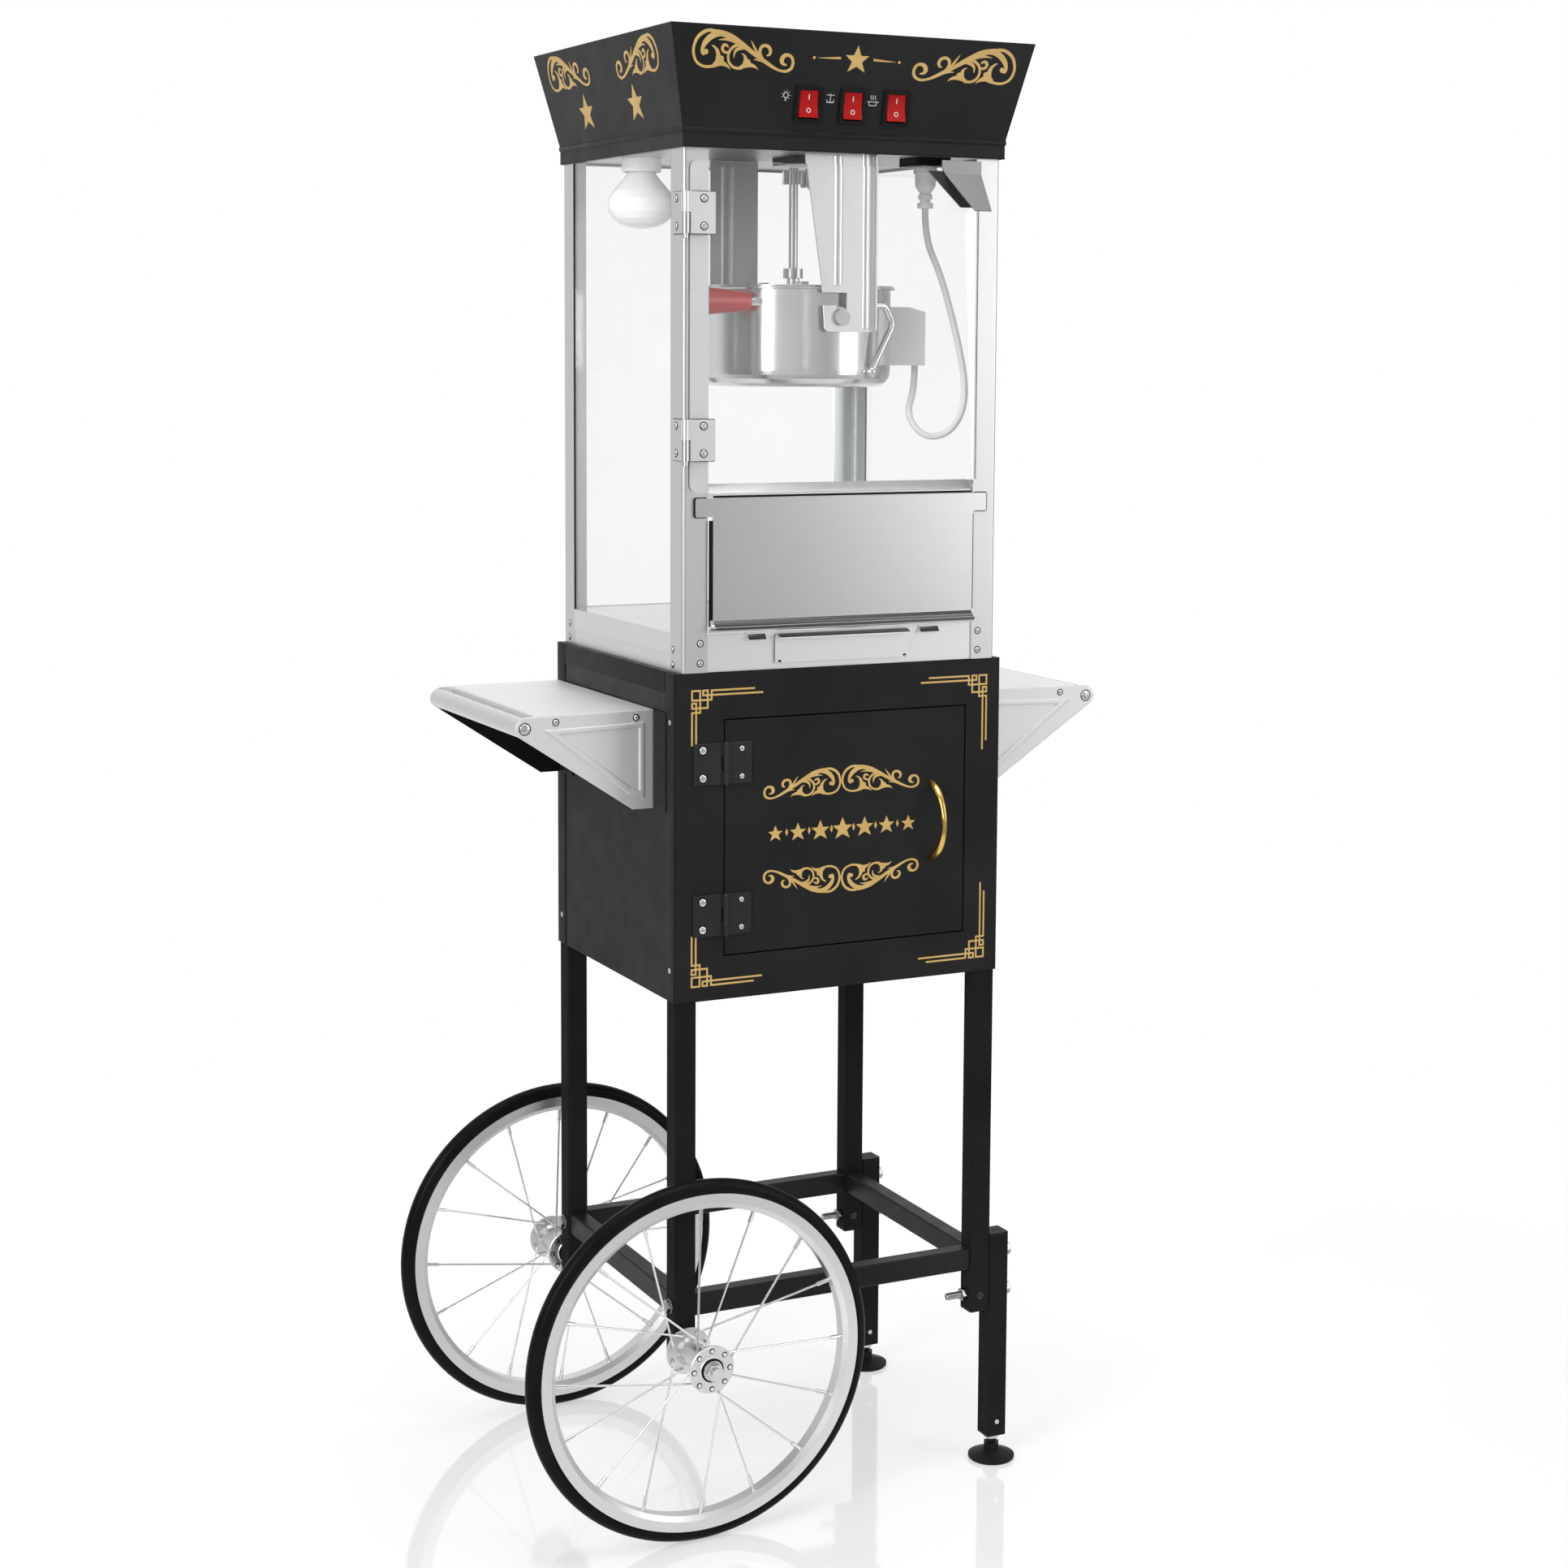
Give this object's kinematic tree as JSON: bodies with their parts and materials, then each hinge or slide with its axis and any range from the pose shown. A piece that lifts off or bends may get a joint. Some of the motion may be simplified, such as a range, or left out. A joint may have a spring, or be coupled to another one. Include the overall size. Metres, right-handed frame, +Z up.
{
  "type": "popcorn machine on a wheeled cart",
  "caption": "Popcorn machine with a tilting kettle in a glazed case under a flared canopy, standing on a cart with a cupboard, side shelves, spoked wheels and levelling feet.",
  "frame": {"origin": "on the floor, below the middle of the object's box", "axes": "+X to the right seen from the front, +Y to the back, +Z up"},
  "size_m": [0.7479, 0.5146, 1.6277],
  "materials": {
    "black_coat": "satin",
    "black_hinge": "satin",
    "zinc_bolts": "satin",
    "black_plastic": "matte",
    "chrome": "polished",
    "spoke_steel": "polished",
    "stainless": "brushed",
    "pot_steel": "polished",
    "tyre_rubber": "matte",
    "gold_handle": "polished",
    "clear_glass": "clear",
    "frosted_glass": "frosted",
    "red_rocker": "gloss",
    "red_grip": "gloss",
    "cord_sheath": "matte",
    "plug_plastic": "matte",
    "socket_plastic": "matte",
    "screw_steel": "satin",
    "gear_steel": "satin",
    "motor_case": "satin"
  },
  "bodies": {
    "cart": {"cart_legs": "black_coat", "lower_rails": "black_coat", "extension_legs": "black_coat", "leg_caps": "black_plastic", "frame_bolts": "zinc_bolts", "wheel_axles": "zinc_bolts", "cabinet_front": "black_coat", "cabinet_panels": "black_coat", "cabinet_top_tray": "black_coat", "cabinet_hinge_leaves": "black_hinge", "panel_screws": "screw_steel", "shelf_plates": "stainless", "shelf_brackets": "stainless", "shelf_bars": "stainless", "shelf_mounts": "black_coat", "corner_posts": "stainless", "base_panels": "stainless", "popcorn_deck": "stainless", "fixed_windows": "clear_glass", "ceiling_plate": "stainless", "canopy": "black_coat", "kettle_hangers": "stainless", "ceiling_sockets": "socket_plastic", "lamp_bulb": "frosted_glass", "stirrer_motor": "motor_case", "kettle_plug": "plug_plastic", "kettle_cord": "cord_sheath", "switch_bezels": "black_plastic", "door_hinge_posts": "stainless"},
    "front_foot_body": {"front_foot": "black_plastic"},
    "rear_foot_body": {"rear_foot": "black_plastic"},
    "front_wheel": {"front_tyre": "tyre_rubber", "front_rim": "chrome", "front_spokes": "spoke_steel", "front_hub": "chrome"},
    "rear_wheel": {"rear_tyre": "tyre_rubber", "rear_rim": "chrome", "rear_spokes": "spoke_steel", "rear_hub": "chrome"},
    "cabinet_door_body": {"cabinet_door": "black_coat", "cabinet_door_leaves": "black_hinge", "cabinet_handle": "gold_handle", "cabinet_door_screws": "screw_steel"},
    "glass_door": {"door_window": "clear_glass", "door_hinge_leaves": "stainless", "door_handle": "stainless", "door_backing": "black_plastic"},
    "flap": {"front_flap": "stainless"},
    "drawer": {"crumb_drawer": "stainless"},
    "lamp_switch": {"lamp_rocker": "red_rocker"},
    "stirrer_switch": {"stirrer_rocker": "red_rocker"},
    "kettle_switch": {"kettle_rocker": "red_rocker"},
    "drive": {"drive_gear": "gear_steel"},
    "kettle": {"kettle_pot": "pot_steel", "kettle_lid": "pot_steel", "kettle_trunnions": "pot_steel", "kettle_grip": "red_grip", "heater_box": "stainless"},
    "lid_flap": {"kettle_lid_flap": "pot_steel"},
    "stirrer": {"stirrer_shaft": "gear_steel"}
  },
  "joints": [
    {"name": "front_wheel_spin", "type": "hinge", "parent": "cart", "child": "front_wheel", "pos_m": [-0.17304, -0.2108, 0.20095], "axis": [0, 1, 0], "continuous": true},
    {"name": "rear_wheel_spin", "type": "hinge", "parent": "cart", "child": "rear_wheel", "pos_m": [-0.17304, 0.2108, 0.20095], "axis": [0, 1, 0], "continuous": true},
    {"name": "front_foot_height", "type": "slide", "parent": "cart", "child": "front_foot_body", "axis": [0, 0, -1], "range_m": [0, 0.02]},
    {"name": "rear_foot_height", "type": "slide", "parent": "cart", "child": "rear_foot_body", "axis": [0, 0, -1], "range_m": [0, 0.02]},
    {"name": "cabinet_door_hinge", "type": "hinge", "parent": "cart", "child": "cabinet_door_body", "pos_m": [-0.12834, -0.1768, 0.765], "axis": [0, 0, -1], "range_deg": [0, 150]},
    {"name": "glass_door_hinge", "type": "hinge", "parent": "cart", "child": "glass_door", "pos_m": [-0.17784, -0.179, 1.315], "axis": [0, 0, -1], "range_deg": [0, 170]},
    {"name": "flap_tilt", "type": "hinge", "parent": "cart", "child": "flap", "pos_m": [0.01316, -0.1765, 0.992], "axis": [1, 0, 0], "range_deg": [0, 70]},
    {"name": "drawer_slide", "type": "slide", "parent": "cart", "child": "drawer", "axis": [0, -1, 0], "range_m": [0, 0.15]},
    {"name": "lamp_switch_rock", "type": "hinge", "parent": "cart", "child": "lamp_switch", "pos_m": [-0.03924, -0.1843, 1.55243], "axis": [1, 0, 0], "range_deg": [0, 16]},
    {"name": "stirrer_switch_rock", "type": "hinge", "parent": "cart", "child": "stirrer_switch", "pos_m": [0.01356, -0.1843, 1.55243], "axis": [1, 0, 0], "range_deg": [0, 16]},
    {"name": "kettle_switch_rock", "type": "hinge", "parent": "cart", "child": "kettle_switch", "pos_m": [0.06636, -0.1843, 1.55243], "axis": [1, 0, 0], "range_deg": [0, 16]},
    {"name": "drive_spin", "type": "hinge", "parent": "cart", "child": "drive", "pos_m": [0.03556, -0.0435, 1.48], "axis": [0, 0, 1], "continuous": true},
    {"name": "kettle_tilt", "type": "hinge", "parent": "cart", "child": "kettle", "pos_m": [0.01316, -0.0435, 1.3275], "axis": [0, -1, 0], "range_deg": [0, 90], "deforming": ["kettle_cord"]},
    {"name": "lid_flap_hinge", "type": "hinge", "parent": "kettle", "child": "lid_flap", "pos_m": [-0.00084, -0.0435, 1.3649], "axis": [0, 1, 0], "range_deg": [0, 75]},
    {"name": "stirrer_spin", "type": "hinge", "parent": "kettle", "child": "stirrer", "pos_m": [0.01316, -0.0435, 1.3275], "axis": [0, 0, 1], "continuous": true}
  ],
  "couplings": [
    {"joint": "drive_spin", "follows": "stirrer_spin", "ratio": -1}
  ]
}
